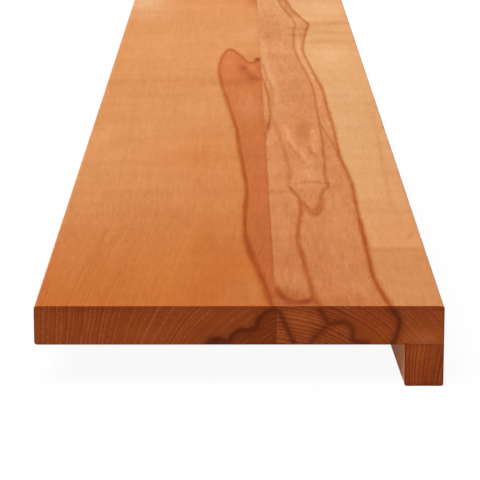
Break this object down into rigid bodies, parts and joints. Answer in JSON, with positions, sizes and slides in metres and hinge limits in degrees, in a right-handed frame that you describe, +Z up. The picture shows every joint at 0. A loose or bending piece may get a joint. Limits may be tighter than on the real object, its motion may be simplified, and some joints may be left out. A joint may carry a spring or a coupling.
{
  "type": "window sill board",
  "caption": "Solid wood inner window sill: edge-glued board with rounded long edges and a square drop nosing glued under the room edge.",
  "frame": {"origin": "below the middle of the sill, level with the underside of the nosing", "axes": "+X from the window edge to the room edge, +Y along the sill, +Z up out of the top face"},
  "size_m": [0.2, 1.2, 0.0405],
  "materials": {
    "back_stave_wood": "oiled red-heart beech, satin",
    "front_stave_wood": "oiled red-heart beech, satin",
    "nosing_wood": "oiled beech, satin"
  },
  "bodies": {
    "root": {"back_stave": "back_stave_wood", "front_stave": "front_stave_wood", "drop_nosing": "nosing_wood"}
  },
  "joints": []
}
